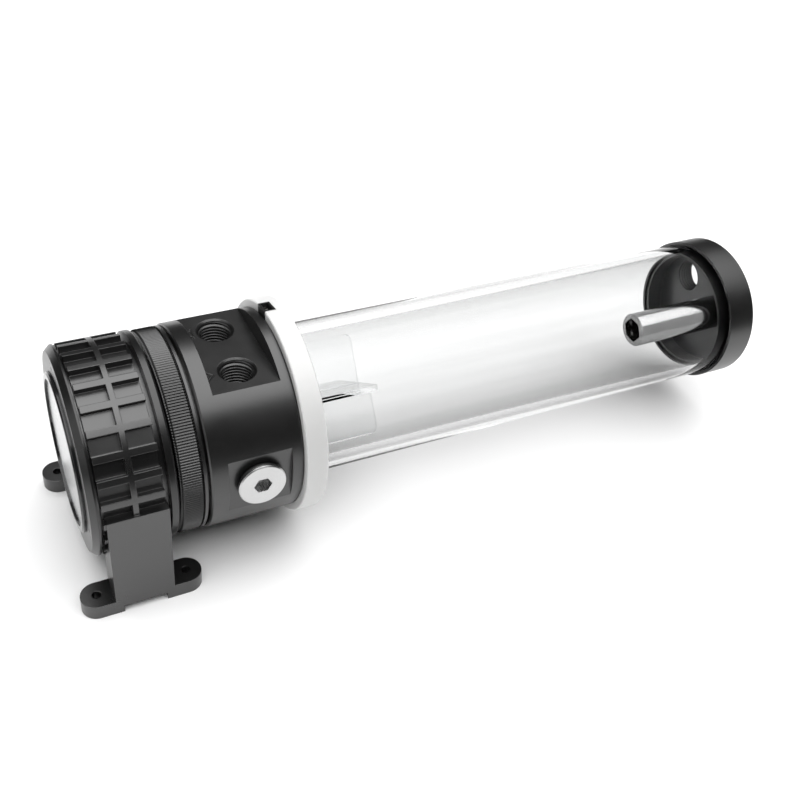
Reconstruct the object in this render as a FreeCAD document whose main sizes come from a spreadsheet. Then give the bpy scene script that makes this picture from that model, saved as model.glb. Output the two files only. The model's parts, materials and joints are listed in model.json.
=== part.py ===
import FreeCAD, Part
import math
import os
import Sketcher
from FreeCAD import Placement, Rotation, Vector

# Coolant pump with a tube reservoir, in millimetres.
# X runs along the tube from the motor to the cap, and Z is up.
# The origin is the centre of the four foot holes, on the plane that the feet stand on.
# Every round piece is drawn about the motor's axis, and stands axisHeight above that plane.

doc = FreeCAD.newDocument("PumpReservoir")
sheet = doc.addObject("Spreadsheet::Sheet", "Sizes")


class Size:
    """A number together with the sheet formula that gives it."""

    def __init__(self, number, formula):
        self.number = number
        self.formula = formula

    def join(self, other, sign, flipped=False):
        other = asSize(other)
        left, right = (other, self) if flipped else (self, other)
        if sign == "+":
            number = left.number + right.number
        elif sign == "-":
            number = left.number - right.number
        elif sign == "*":
            number = left.number * right.number
        else:
            number = left.number / right.number
        return Size(number, "(%s %s %s)" % (left.formula, sign, right.formula))

    def __add__(self, other):
        return self.join(other, "+")

    def __sub__(self, other):
        return self.join(other, "-")

    def __mul__(self, other):
        return self.join(other, "*")

    def __truediv__(self, other):
        return self.join(other, "/")

    def __radd__(self, other):
        return self.join(other, "+", True)

    def __rsub__(self, other):
        return self.join(other, "-", True)

    def __rmul__(self, other):
        return self.join(other, "*", True)

    def __neg__(self):
        return self * -1


def asSize(value):
    if isinstance(value, Size):
        return value
    return Size(float(value), repr(float(value)))


def root(size):
    return Size(math.sqrt(size.number), "sqrt(%s)" % size.formula)


def along(radius, degrees):
    """Radius times the cosine of an angle."""
    radius = asSize(radius)
    degrees = asSize(degrees)
    number = radius.number * math.cos(math.radians(degrees.number))
    return Size(number, "(%s * cos(%s))" % (radius.formula, degrees.formula))


def across(radius, degrees):
    """Radius times the sine of an angle."""
    radius = asSize(radius)
    degrees = asSize(degrees)
    number = radius.number * math.sin(math.radians(degrees.number))
    return Size(number, "(%s * sin(%s))" % (radius.formula, degrees.formula))


def sizeCell(name, number):
    """One driving dimension: a cell with a plain number and an alias."""
    sizeCell.row += 1
    cell = "A%d" % sizeCell.row
    sheet.set(cell, repr(float(number)))
    sheet.setAlias(cell, name)
    return Size(float(number), "Sizes.%s" % name)


sizeCell.row = 0

# Holder and its feet
axisHeight = sizeCell("axisHeight", 47.5)
outerRadius = sizeCell("outerRadius", 39.4)
holderWidth = sizeCell("holderWidth", 22.0)
ringShift = sizeCell("ringShift", 0.8)
frontGrooveWidth = sizeCell("frontGrooveWidth", 1.0)
rearGrooveWidth = sizeCell("rearGrooveWidth", 1.9)
sideGrooveDepth = sizeCell("sideGrooveDepth", 3.9)
pocketCount = sizeCell("pocketCount", 28)
pocketTurn = sizeCell("pocketTurn", 9.8)
pocketWidth = sizeCell("pocketWidth", 6.2)
pocketDepth = sizeCell("pocketDepth", 2.8)
middleRibWidth = sizeCell("middleRibWidth", 2.0)
middleRibShift = sizeCell("middleRibShift", 0.35)
legProud = sizeCell("legProud", 1.0)
legWidth = sizeCell("legWidth", 22.0)
earRadius = sizeCell("earRadius", 6.0)
earThickness = sizeCell("earThickness", 6.3)
archHalfLength = sizeCell("archHalfLength", 8.1)
archHeight = sizeCell("archHeight", 3.3)
footHoleRadius = sizeCell("footHoleRadius", 1.7)
footHoleHalfSpan = sizeCell("footHoleHalfSpan", 16.75)

# Flanges beside the holder, and the screws through all three
frontFlangeWidth = sizeCell("frontFlangeWidth", 3.0)
rearFlangeWidth = sizeCell("rearFlangeWidth", 2.8)
flangeRounding = sizeCell("flangeRounding", 2.4)
screwInset = sizeCell("screwInset", 3.4)
screwRadius = sizeCell("screwRadius", 1.25)
screwHeadRadius = sizeCell("screwHeadRadius", 2.0)
screwHeadDepth = sizeCell("screwHeadDepth", 1.6)
screwKeyWidth = sizeCell("screwKeyWidth", 1.5)
screwKeyDepth = sizeCell("screwKeyDepth", 1.1)
screwTipWall = sizeCell("screwTipWall", 0.8)
screwFit = sizeCell("screwFit", 0.05)
screwCount = sizeCell("screwCount", 3)
firstScrewAngle = sizeCell("firstScrewAngle", 76.0)

# Lead outlet on the underside
grommetRadius = sizeCell("grommetRadius", 3.0)
grommetBore = sizeCell("grommetBore", 1.6)
grommetBrim = sizeCell("grommetBrim", 1.6)
grommetBossWall = sizeCell("grommetBossWall", 2.4)
grommetBossRise = sizeCell("grommetBossRise", 0.6)

# Motor
clampWall = sizeCell("clampWall", 9.4)
canWall = sizeCell("canWall", 2.0)
canProud = sizeCell("canProud", 1.5)
canBevel = sizeCell("canBevel", 0.6)
motorFlangeRoom = sizeCell("motorFlangeRoom", 1.0)
motorFlangeThickness = sizeCell("motorFlangeThickness", 2.8)
discMargin = sizeCell("discMargin", 0.6)
discThickness = sizeCell("discThickness", 0.8)
discRecess = sizeCell("discRecess", 0.9)
boardThickness = sizeCell("boardThickness", 1.6)
boardLedge = sizeCell("boardLedge", 2.2)
driverChipWidth = sizeCell("driverChipWidth", 8.0)
smoothingCanRadius = sizeCell("smoothingCanRadius", 3.0)
smoothingCanLength = sizeCell("smoothingCanLength", 6.0)
assemblyFit = sizeCell("assemblyFit", 0.05)
statorLead = sizeCell("statorLead", 0.7)
statorYoke = sizeCell("statorYoke", 3.6)
toothWidth = sizeCell("toothWidth", 5.0)
toothReach = sizeCell("toothReach", 13.0)
toothCount = sizeCell("toothCount", 6)
coilBuild = sizeCell("coilBuild", 3.4)
coilRoom = sizeCell("coilRoom", 1.05)
coilEndRoom = sizeCell("coilEndRoom", 1.15)
statorDepth = sizeCell("statorDepth", 9.5)
cupWall = sizeCell("cupWall", 0.8)
rotorGap = sizeCell("rotorGap", 0.9)
ballRadius = sizeCell("ballRadius", 3.5)
ballFit = sizeCell("ballFit", 0.06)
postRadius = sizeCell("postRadius", 2.0)
postFootRise = sizeCell("postFootRise", 0.15)
rotorHole = sizeCell("rotorHole", 4.2)
toothGap = sizeCell("toothGap", 0.2)

# Impeller
impellerRadius = sizeCell("impellerRadius", 22.0)
impellerGap = sizeCell("impellerGap", 0.9)
impellerDisc = sizeCell("impellerDisc", 1.5)
impellerHub = sizeCell("impellerHub", 14.0)
impellerNose = sizeCell("impellerNose", 6.0)
impellerCover = sizeCell("impellerCover", 1.0)
eyeRoom = sizeCell("eyeRoom", 0.6)
bladeHeight = sizeCell("bladeHeight", 4.5)
bladeRoot = sizeCell("bladeRoot", 7.5)
bladeSweep = sizeCell("bladeSweep", 62.0)
bladeCurve = sizeCell("bladeCurve", 15.0)
bladeThickness = sizeCell("bladeThickness", 1.4)
bladeCount = sizeCell("bladeCount", 6)

# Retaining ring
ringGap = sizeCell("ringGap", 1.3)
ringWidth = sizeCell("ringWidth", 7.9)
ringInset = sizeCell("ringInset", 0.5)
ringBevel = sizeCell("ringBevel", 0.6)
ringLip = sizeCell("ringLip", 2.0)
ringLipRoom = sizeCell("ringLipRoom", 1.3)
ringFit = sizeCell("ringFit", 0.08)
neckInset = sizeCell("neckInset", 3.4)

# Pump body
collarGap = sizeCell("collarGap", 0.2)
collarWidth = sizeCell("collarWidth", 1.1)
collarGroove = sizeCell("collarGroove", 1.1)
bodyLength = sizeCell("bodyLength", 35.2)
edgeBreak = sizeCell("edgeBreak", 0.6)
voluteRoom = sizeCell("voluteRoom", 5.0)
chamberRoom = sizeCell("chamberRoom", 1.2)
intakeRadius = sizeCell("intakeRadius", 8.0)
portStation = sizeCell("portStation", 18.6)
portRadius = sizeCell("portRadius", 6.58)
portDepth = sizeCell("portDepth", 13.0)
portHalfSpacing = sizeCell("portHalfSpacing", 12.6)
portMouth = sizeCell("portMouth", 0.6)
portFlatDepth = sizeCell("portFlatDepth", 7.7)
portFlatLength = sizeCell("portFlatLength", 25.0)
plugFlatDepth = sizeCell("plugFlatDepth", 1.8)
plugFlatLength = sizeCell("plugFlatLength", 24.0)
channelRadius = sizeCell("channelRadius", 4.0)
outletChannelDrop = sizeCell("outletChannelDrop", 11.2)
returnChannelDrop = sizeCell("returnChannelDrop", 19.9)
sideChannelInset = sizeCell("sideChannelInset", 3.0)

# Seals: section radius, circle and room at the sides of each groove
sealRoom = sizeCell("sealRoom", 0.1)
sealFit = sizeCell("sealFit", 0.01)
pumpSealSection = sizeCell("pumpSealSection", 0.9)
tubeSealSection = sizeCell("tubeSealSection", 1.2)
capSealSection = sizeCell("capSealSection", 1.1)
plugSealSection = sizeCell("plugSealSection", 0.95)
plugSealRoom = sizeCell("plugSealRoom", 0.15)

# Side plug
threadFit = sizeCell("threadFit", 0.08)
plugThreadLength = sizeCell("plugThreadLength", 9.0)
plugHeadMargin = sizeCell("plugHeadMargin", 0.55)
plugHeadThickness = sizeCell("plugHeadThickness", 1.3)
plugBevel = sizeCell("plugBevel", 0.4)
plugKeyWidth = sizeCell("plugKeyWidth", 6.0)
plugKeyDepth = sizeCell("plugKeyDepth", 4.5)

# Light ring
lightRingProud = sizeCell("lightRingProud", 2.9)
lightRingWidth = sizeCell("lightRingWidth", 8.3)
lightRingRoom = sizeCell("lightRingRoom", 0.1)
lightRingEdge = sizeCell("lightRingEdge", 0.4)
lightChannelWall = sizeCell("lightChannelWall", 1.6)
lightFaceWall = sizeCell("lightFaceWall", 3.9)
lightChannelDepth = sizeCell("lightChannelDepth", 3.2)
lightBoardRoom = sizeCell("lightBoardRoom", 0.3)
lightBoardThickness = sizeCell("lightBoardThickness", 1.2)
chipCount = sizeCell("chipCount", 12)
chipWidth = sizeCell("chipWidth", 3.0)
chipRise = sizeCell("chipRise", 1.2)
socketTilt = sizeCell("socketTilt", 11.0)
socketWidth = sizeCell("socketWidth", 7.6)
socketLength = sizeCell("socketLength", 4.4)
socketFloor = sizeCell("socketFloor", 0.9)
socketWall = sizeCell("socketWall", 0.8)
pinCount = sizeCell("pinCount", 3)
pinPitch = sizeCell("pinPitch", 2.0)
pinWidth = sizeCell("pinWidth", 0.64)
pinRise = sizeCell("pinRise", 2.2)

# Reservoir tube and the plates inside it
tubeInset = sizeCell("tubeInset", 9.4)
tubeWall = sizeCell("tubeWall", 5.0)
tubeVisible = sizeCell("tubeVisible", 197.4)
tubeStandoff = sizeCell("tubeStandoff", 0.9)
tubeFit = sizeCell("tubeFit", 0.1)
neckReach = sizeCell("neckReach", 10.3)
neckWall = sizeCell("neckWall", 3.2)
neckFit = sizeCell("neckFit", 0.3)
plateThickness = sizeCell("plateThickness", 2.0)
plateRoom = sizeCell("plateRoom", 0.15)
plateLength = sizeCell("plateLength", 39.6)
plateTab = sizeCell("plateTab", 4.6)
plateCorner = sizeCell("plateCorner", 3.0)
plateTurn = sizeCell("plateTurn", 35.0)
plateFit = sizeCell("plateFit", 0.05)

# End cap and the tube hanging from it
capLip = sizeCell("capLip", 1.3)
capLength = sizeCell("capLength", 13.0)
capWall = sizeCell("capWall", 8.0)
capSlotWall = sizeCell("capSlotWall", 5.2)
skirtReach = sizeCell("skirtReach", 2.0)
skirtWall = sizeCell("skirtWall", 1.0)
capPortInset = sizeCell("capPortInset", 10.7)
openPortAngle = sizeCell("openPortAngle", 51.0)
dropPortAngle = sizeCell("dropPortAngle", 153.0)
dropTubeShoulder = sizeCell("dropTubeShoulder", 0.52)
dropTubeBore = sizeCell("dropTubeBore", 4.7)
dropTubeLength = sizeCell("dropTubeLength", 46.0)
dropSpigot = sizeCell("dropSpigot", 4.0)
dropKeyWidth = sizeCell("dropKeyWidth", 9.2)
dropKeyDepth = sizeCell("dropKeyDepth", 3.0)
dropBevel = sizeCell("dropBevel", 0.5)

# Radii that several pieces share
canRadius = outerRadius - clampWall
tubeRadius = outerRadius - tubeInset
holderBore = canRadius + assemblyFit
grooveFloor = outerRadius - sideGrooveDepth
legFace = outerRadius + legProud
screwCircle = canRadius + screwInset
ringRadius = outerRadius - ringInset
neckRadius = outerRadius - neckInset
motorFlangeRadius = neckRadius - motorFlangeRoom
canBore = canRadius - canWall
discRadius = canBore - discMargin
eyeRadius = intakeRadius + eyeRoom
chamberRadius = impellerRadius + voluteRoom
pumpSealCircle = (chamberRadius + neckRadius) / 2
portFlatHeight = outerRadius - portFlatDepth
plugFlatHeight = outerRadius - plugFlatDepth
outletChannelHeight = portFlatHeight - outletChannelDrop
returnChannelHeight = portFlatHeight - returnChannelDrop
plugThreadRadius = portRadius - threadFit
plugSealCircle = plugThreadRadius + plugSealSection + plugSealRoom
plugHeadRadius = plugSealCircle + plugSealSection + plugHeadMargin
lightRingRadius = outerRadius + lightRingProud
lightChannelOuter = lightRingRadius - lightFaceWall
lightRingBore = tubeRadius + lightRingRoom
lightChannelInner = lightRingBore + lightChannelWall
yokeBore = canBore - assemblyFit - statorYoke
cupRadius = canBore - statorDepth
cupOutside = cupRadius + cupWall
coilStart = cupOutside + rotorGap
coilDepth = yokeBore - coilStart - coilRoom
tubeBore = tubeRadius - tubeWall
neckOutside = tubeBore - neckFit
neckBore = neckOutside - neckWall
sideChannelHeight = neckBore - channelRadius - sideChannelInset
tubeSealCircle = tubeRadius - tubeWall / 2
lipBore = tubeRadius + tubeFit
capRadius = lipBore + capLip
capPortCircle = tubeBore - capPortInset
dropTubeRadius = portRadius + dropTubeShoulder
skirtOutside = tubeBore - tubeFit
skirtBore = skirtOutside - skirtWall
plugRise = (plugSealSection + sealFit) * 2
legInner = legFace - earRadius * 2
earMiddle = legFace - earRadius
openPort = (along(capPortCircle, openPortAngle), across(capPortCircle, openPortAngle))
dropPort = (along(capPortCircle, dropPortAngle), across(capPortCircle, dropPortAngle))

# Stations along X, each worked out from the one before it
holderStart = -holderWidth / 2 - ringShift
holderEnd = holderWidth / 2 - ringShift
frontSide = holderStart - frontGrooveWidth
rearSide = holderEnd + rearGrooveWidth
frontFlangeStart = frontSide - frontFlangeWidth
motorStart = frontFlangeStart - canProud
rearFlangeEnd = rearSide + rearFlangeWidth
ringStart = rearFlangeEnd + ringGap
ringEnd = ringStart + ringWidth
motorFlangeStart = ringStart + ringLip + ringFit
motorFlangeEnd = motorFlangeStart + motorFlangeThickness
neckStart = motorFlangeEnd + ringFit
collarStart = ringEnd + collarGap
collarEnd = collarStart + collarWidth
bodyStart = collarEnd + collarGroove
bodyEnd = bodyStart + bodyLength
portPlace = bodyStart + portStation
lightRingEnd = bodyEnd + lightRingWidth
capStart = lightRingEnd + tubeVisible
capEnd = capStart + capLength
capSlotEnd = capEnd - capSlotWall
capInside = capEnd - capWall
tubeStart = bodyEnd + tubeStandoff
tubeEnd = capSlotEnd - capSealSection * 2 - sealFit * 2

# Motor stations: the rotor turns on a ball at the middle of the cup's rim
discPlace = motorStart + discRecess
canEnd = discPlace + discThickness
canInside = canEnd + canWall
boardStart = canInside + boardLedge
cupMiddle = motorFlangeEnd - cupWall
statorStart = cupMiddle - cupRadius - cupWall + statorLead
statorEnd = cupMiddle - coilEndRoom - coilBuild - assemblyFit
statorLength = statorEnd - statorStart
discStart = motorFlangeEnd + impellerGap
discEnd = discStart + impellerDisc
bladeEnd = discEnd + bladeHeight
coverEnd = bladeEnd + impellerCover
chamberEnd = coverEnd + chamberRoom


def newBody(name, label):
    """A body about the motor's axis, whose label is its node's name."""
    body = doc.addObject("PartDesign::Body", name)
    body.Label = label
    body.AllowCompound = True
    body.setExpression("Placement.Base.z", axisHeight.formula)
    return body


def originPart(body, role):
    """The body's own plane or axis with this role."""
    for feature in body.Origin.OriginFeatures:
        if feature.Role == role:
            return feature
    raise RuntimeError("no %s in %s" % (role, body.Name))


def newSketch(body, name, role, offset=None):
    sketch = body.newObject("Sketcher::SketchObject", name)
    sketch.AttachmentSupport = (originPart(body, role), [""])
    sketch.MapMode = "FlatFace"
    if offset is not None:
        sketch.setExpression("AttachmentOffset.Base.z", asSize(offset).formula)
    return sketch


def newTurnedSketch(body, name, height, degrees):
    """A sketch at this height above the axis, turned about the axis away from straight up."""
    sketch = newSketch(body, name, "XY_Plane")
    turn = Rotation(Vector(1, 0, 0), degrees.number)
    sketch.AttachmentOffset = Placement(Vector(0, 0, 0), turn)
    sketch.setExpression("AttachmentOffset.Rotation.Angle", degrees.formula)
    sketch.setExpression("AttachmentOffset.Base.y", (-across(height, degrees)).formula)
    sketch.setExpression("AttachmentOffset.Base.z", along(height, degrees).formula)
    return sketch


def bindSize(sketch, kind, references, size, name):
    """Adds a named constraint whose value follows the sheet."""
    number = sketch.addConstraint(Sketcher.Constraint(kind, *references, size.number))
    sketch.renameConstraint(number, name)
    sketch.setExpression("Constraints." + name, size.formula)


def bindPoint(sketch, curve, point, place, name):
    """Ties one point of a sketch to two sizes, measured from the sketch's origin."""
    for kind, size, axisLine in (("DistanceX", place[0], -2), ("DistanceY", place[1], -1)):
        if abs(size.number) < 1e-9:
            sketch.addConstraint(Sketcher.Constraint("PointOnObject", curve, point, axisLine))
        else:
            bindSize(sketch, kind, (-1, 1, curve, point), size, name + kind[-1])


def arcBetween(begin, finish, radius, turn):
    """The shorter arc from begin to finish, and which of its ends is at begin."""
    middle = (begin + finish) / 2
    chord = finish - begin
    reach = math.sqrt(max(radius ** 2 - (chord.Length / 2) ** 2, 0.0))
    side = Vector(-chord.y, chord.x, 0).normalize() * (reach if turn == "left" else -reach)
    centre = middle + side
    first, last = (begin, finish) if turn == "left" else (finish, begin)
    angles = [math.atan2(point.y - centre.y, point.x - centre.x) for point in (first, last)]
    circle = Part.Circle(centre, Vector(0, 0, 1), radius)
    return Part.ArcOfCircle(circle, angles[0], angles[1]), 1 if turn == "left" else 2


def drawOutline(sketch, places):
    """A closed outline through (u, v) places.

    A place may add the turn and the radius of an arc that leads to the next place.
    """
    first = sketch.GeometryCount
    count = len(places)
    points = [(asSize(place[0]), asSize(place[1])) for place in places]
    corners = [Vector(u.number, v.number, 0) for u, v in points]
    starts = []
    for index, place in enumerate(places):
        begin = corners[index]
        finish = corners[(index + 1) % count]
        if len(place) == 4:
            curve, start = arcBetween(begin, finish, asSize(place[3]).number, place[2])
        else:
            curve, start = Part.LineSegment(begin, finish), 1
        sketch.addGeometry(curve, False)
        starts.append(start)
    for index in range(count):
        after = (index + 1) % count
        ends = (first + index, 3 - starts[index], first + after, starts[after])
        sketch.addConstraint(Sketcher.Constraint("Coincident", *ends))
    for index, place in enumerate(places):
        curve = first + index
        bindPoint(sketch, curve, starts[index], points[index], "p%d" % curve)
        if len(place) == 4:
            bindSize(sketch, "Radius", (curve,), asSize(place[3]), "r%d" % curve)


def drawRectangle(sketch, low, high):
    drawOutline(sketch, [(low[0], low[1]), (high[0], low[1]), (high[0], high[1]), (low[0], high[1])])


def drawCircle(sketch, centre, radius):
    radius = asSize(radius)
    centre = (asSize(centre[0]), asSize(centre[1]))
    middle = Vector(centre[0].number, centre[1].number, 0)
    curve = sketch.addGeometry(Part.Circle(middle, Vector(0, 0, 1), radius.number), False)
    bindSize(sketch, "Radius", (curve,), radius, "r%d" % curve)
    bindPoint(sketch, curve, 3, centre, "c%d" % curve)


def drawHexagon(sketch, acrossFlats, centre=(0, 0)):
    radius = acrossFlats / 2 / asSize(math.cos(math.pi / 6))
    places = []
    for turn in range(0, 360, 60):
        places.append((asSize(centre[0]) + along(radius, turn), asSize(centre[1]) + across(radius, turn)))
    drawOutline(sketch, places)


def turned(body, name, places):
    """Turns an outline of (station, radius) places about the X axis."""
    sketch = newSketch(body, name + "Outline", "XY_Plane")
    drawOutline(sketch, places)
    feature = body.newObject("PartDesign::Revolution", name)
    feature.Profile = sketch
    feature.ReferenceAxis = (sketch, ["H_Axis"])
    feature.Angle = 360
    doc.recompute()
    return feature


def padded(body, name, sketch, length, reverse=False, bothWays=False):
    feature = body.newObject("PartDesign::Pad", name)
    feature.Profile = sketch
    feature.setExpression("Length", asSize(length).formula)
    feature.Reversed = reverse
    feature.Midplane = bothWays
    doc.recompute()
    return feature


def pocketed(body, name, sketch, depth, reverse=False, bothWays=False):
    """Cuts a pocket and makes sure that it took material away."""
    before = body.Shape.Volume
    feature = body.newObject("PartDesign::Pocket", name)
    feature.Profile = sketch
    feature.setExpression("Length", asSize(depth).formula)
    feature.Reversed = reverse
    feature.Midplane = bothWays
    doc.recompute()
    if not feature.Shape.Volume < before - 0.001:
        raise RuntimeError("%s cuts nothing" % name)
    return feature


def drilled(body, name, role, offset, places, radius, depth, reverse=False):
    """Round holes cut from a plane of the body."""
    sketch = newSketch(body, name + "Circles", role, offset)
    for place in places:
        drawCircle(sketch, place, radius)
    return pocketed(body, name, sketch, depth, reverse)


def repeated(body, name, originals, count):
    """Repeats features in a full circle about the X axis."""
    feature = body.newObject("PartDesign::PolarPattern", name)
    feature.Originals = originals
    feature.Axis = (originPart(body, "X_Axis"), [""])
    feature.Angle = 360
    feature.setExpression("Occurrences", count.formula)
    body.Tip = feature
    doc.recompute()
    return feature


def softened(body, kind, name, base, circles, size):
    """Fillets or chamfers the round edges with the given centres and radii."""
    names = []
    for centre, radius in circles:
        middle = Vector(*[asSize(value).number for value in centre])
        wanted = asSize(radius).number
        for number, edge in enumerate(base.Shape.Edges, 1):
            curve = edge.Curve
            if curve.TypeId != "Part::GeomCircle" or abs(curve.Radius - wanted) > 0.001:
                continue
            if (curve.Center - middle).Length < 0.001:
                names.append("Edge%d" % number)
    if len(names) < len(circles):
        raise RuntimeError("%s finds %d of %d edges" % (name, len(names), len(circles)))
    feature = body.newObject("PartDesign::" + kind, name)
    feature.Base = (base, names)
    feature.setExpression("Radius" if kind == "Fillet" else "Size", asSize(size).formula)
    doc.recompute()
    return feature


def sealRing(name, label, station, circle, section):
    """An O-ring about the motor's axis."""
    seal = doc.addObject("Part::Torus", name)
    seal.Label = label
    seal.setExpression("Radius1", asSize(circle).formula)
    seal.setExpression("Radius2", section.formula)
    seal.Placement = Placement(Vector(0, 0, 0), Rotation(Vector(0, 1, 0), 90))
    seal.setExpression("Placement.Base.x", asSize(station).formula)
    seal.setExpression("Placement.Base.z", axisHeight.formula)
    return seal


def screwPlaces():
    places = []
    for index in range(int(screwCount.number)):
        angle = firstScrewAngle + 360 * asSize(index) / screwCount
        places.append((along(screwCircle, angle), across(screwCircle, angle)))
    return places


def makeHolder():
    """Ring with two rows of pockets, two legs and four ears, as one moulding."""
    body = newBody("Holder", "holder")
    turned(body, "HolderRing", [
        (frontSide, holderBore),
        (rearSide, holderBore),
        (rearSide, grooveFloor),
        (holderEnd, grooveFloor),
        (holderEnd, outerRadius),
        (holderStart, outerRadius),
        (holderStart, grooveFloor),
        (frontSide, grooveFloor)])
    # One pocket on each side of the middle rib, repeated round the ring
    overrun = frontGrooveWidth / 2
    sketch = newTurnedSketch(body, "PocketOutlines", outerRadius + overrun, pocketTurn)
    ribStart = -middleRibWidth / 2 - middleRibShift
    ribEnd = middleRibWidth / 2 - middleRibShift
    drawRectangle(sketch, (holderStart - overrun, -pocketWidth / 2), (ribStart, pocketWidth / 2))
    drawRectangle(sketch, (ribEnd, -pocketWidth / 2), (holderEnd + overrun, pocketWidth / 2))
    firstPockets = pocketed(body, "FirstPockets", sketch, pocketDepth + overrun)
    repeated(body, "PocketRows", [firstPockets], pocketCount)
    # Legs: flat outside, and ending at the middle of the ring's wall
    wallMiddle = (holderBore + grooveFloor) / 2
    sketch = newSketch(body, "LegOutlines", "YZ_Plane")
    for side in (-1, 1):
        drawOutline(sketch, [
            (legFace * side, 0),
            (legFace * side, -axisHeight),
            (legInner * side, -axisHeight),
            (legInner * side, -root(wallMiddle * wallMiddle - legInner * legInner)),
            (wallMiddle * side, 0)])
    padded(body, "Legs", sketch, legWidth, bothWays=True)
    # Ears: a flat bar under each leg, with a round end and a hole at each end
    sketch = newSketch(body, "EarBars", "XY_Plane", -axisHeight)
    drawRectangle(sketch, (-footHoleHalfSpan, -legFace), (footHoleHalfSpan, -legInner))
    drawRectangle(sketch, (-footHoleHalfSpan, legInner), (footHoleHalfSpan, legFace))
    padded(body, "EarPlates", sketch, earThickness)
    ears = [(footHoleHalfSpan * end, earMiddle * side) for end in (-1, 1) for side in (-1, 1)]
    sketch = newSketch(body, "EarCircles", "XY_Plane", -axisHeight)
    for ear in ears:
        drawCircle(sketch, ear, earRadius)
    padded(body, "EarEnds", sketch, earThickness)
    drilled(body, "FootHoles", "XY_Plane", -axisHeight, ears, footHoleRadius, earThickness, True)
    # The underside between the ears stands clear of the surface
    sketch = newSketch(body, "ArchOutline", "XZ_Plane")
    drawRectangle(sketch, (-archHalfLength, -axisHeight - overrun), (archHalfLength, archHeight - axisHeight))
    pocketed(body, "Arch", sketch, legFace * 2 + overrun, bothWays=True)
    # Boss and hole for the lead outlet, and the screw holes
    sketch = newSketch(body, "BossCircle", "XY_Plane", -outerRadius - grommetBossRise)
    drawCircle(sketch, (0, 0), grommetRadius + grommetBossWall)
    padded(body, "OutletBoss", sketch, outerRadius + grommetBossRise - wallMiddle)
    drilled(body, "OutletHole", "XY_Plane", -outerRadius - grommetBossRise, [(0, 0)],
            grommetRadius + assemblyFit, outerRadius + grommetBossRise - canBore, True)
    drilled(body, "ScrewHoles", "YZ_Plane", frontSide, screwPlaces(),
            screwRadius + screwFit, rearSide - frontSide, True)
    return body


def makeFrontFlange():
    """Clamp ring at the motor's end, rounded outside, with the seats of the screw heads."""
    body = newBody("FrontFlange", "front_flange")
    ring = turned(body, "FrontRing", [
        (frontFlangeStart, holderBore),
        (frontSide, holderBore),
        (frontSide, outerRadius),
        (frontFlangeStart, outerRadius)])
    softened(body, "Fillet", "FrontRounding", ring, [((frontFlangeStart, 0, 0), outerRadius)], flangeRounding)
    drilled(body, "FrontScrewHoles", "YZ_Plane", frontFlangeStart, screwPlaces(),
            screwRadius + screwFit, frontFlangeWidth, True)
    drilled(body, "HeadSeats", "YZ_Plane", frontFlangeStart, screwPlaces(),
            screwHeadRadius + screwFit, screwHeadDepth, True)
    return body


def makeRearFlange():
    """Clamp ring on the other side, which the screws end in."""
    body = newBody("RearFlange", "rear_flange")
    turned(body, "RearRing", [
        (rearSide, holderBore),
        (rearFlangeEnd, holderBore),
        (rearFlangeEnd, outerRadius - edgeBreak),
        (rearFlangeEnd - edgeBreak, outerRadius),
        (rearSide, outerRadius)])
    drilled(body, "RearScrewHoles", "YZ_Plane", rearSide, screwPlaces(),
            screwRadius + screwFit, rearFlangeWidth - screwTipWall, True)
    return body


def makeFlangeScrews():
    """Socket screws that clamp the two flanges on the holder."""
    body = newBody("FlangeScrews", "flange_screws")
    sketch = newSketch(body, "ShankCircles", "YZ_Plane", frontFlangeStart)
    for place in screwPlaces():
        drawCircle(sketch, place, screwRadius)
    padded(body, "Shanks", sketch, rearFlangeEnd - screwTipWall - frontFlangeStart)
    sketch = newSketch(body, "HeadCircles", "YZ_Plane", frontFlangeStart)
    for place in screwPlaces():
        drawCircle(sketch, place, screwHeadRadius)
    padded(body, "Heads", sketch, screwHeadDepth)
    sketch = newSketch(body, "HeadKeys", "YZ_Plane", frontFlangeStart)
    for place in screwPlaces():
        drawHexagon(sketch, screwKeyWidth, place)
    pocketed(body, "KeySockets", sketch, screwKeyDepth, True)
    return body


def makeGrommet():
    """Rubber ring in the outlet hole, with a brim against the boss."""
    body = newBody("CableGrommet", "cable_grommet")
    brimHeight = -outerRadius - grommetBossRise - grommetBrim
    sketch = newSketch(body, "BrimCircle", "XY_Plane", brimHeight)
    drawCircle(sketch, (0, 0), grommetRadius + grommetBossWall - grommetBrim / 2)
    padded(body, "Brim", sketch, grommetBrim)
    sketch = newSketch(body, "SleeveCircle", "XY_Plane", brimHeight)
    drawCircle(sketch, (0, 0), grommetRadius)
    padded(body, "Sleeve", sketch, -canBore - brimHeight)
    drilled(body, "LeadHole", "XY_Plane", brimHeight, [(0, 0)], grommetBore, -canBore - brimHeight, True)
    return body


def makeMotorCan():
    """Motor housing: closed towards the end disc, with its flange inside the retaining ring."""
    body = newBody("MotorCan", "motor_can")
    seat = discRadius + assemblyFit
    turned(body, "CanShell", [
        (canEnd, 0),
        (canEnd, seat),
        (motorStart, seat),
        (motorStart, canRadius - canBevel),
        (motorStart + canBevel, canRadius),
        (motorFlangeStart, canRadius),
        (motorFlangeStart, motorFlangeRadius),
        (motorFlangeEnd, motorFlangeRadius),
        (motorFlangeEnd, canBore),
        (boardStart, canBore),
        (boardStart, canBore - canWall),
        (canInside, canBore - canWall),
        (canInside, 0)])
    drilled(body, "LeadOutlet", "XY_Plane", -canRadius - canWall / 2, [(0, 0)],
            grommetRadius + assemblyFit, canWall * 2, True)
    return body


def makeEndDisc():
    body = newBody("EndDisc", "end_disc")
    turned(body, "Disc", [
        (discPlace, 0),
        (discPlace, discRadius),
        (canEnd, discRadius),
        (canEnd, 0)])
    return body


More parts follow.
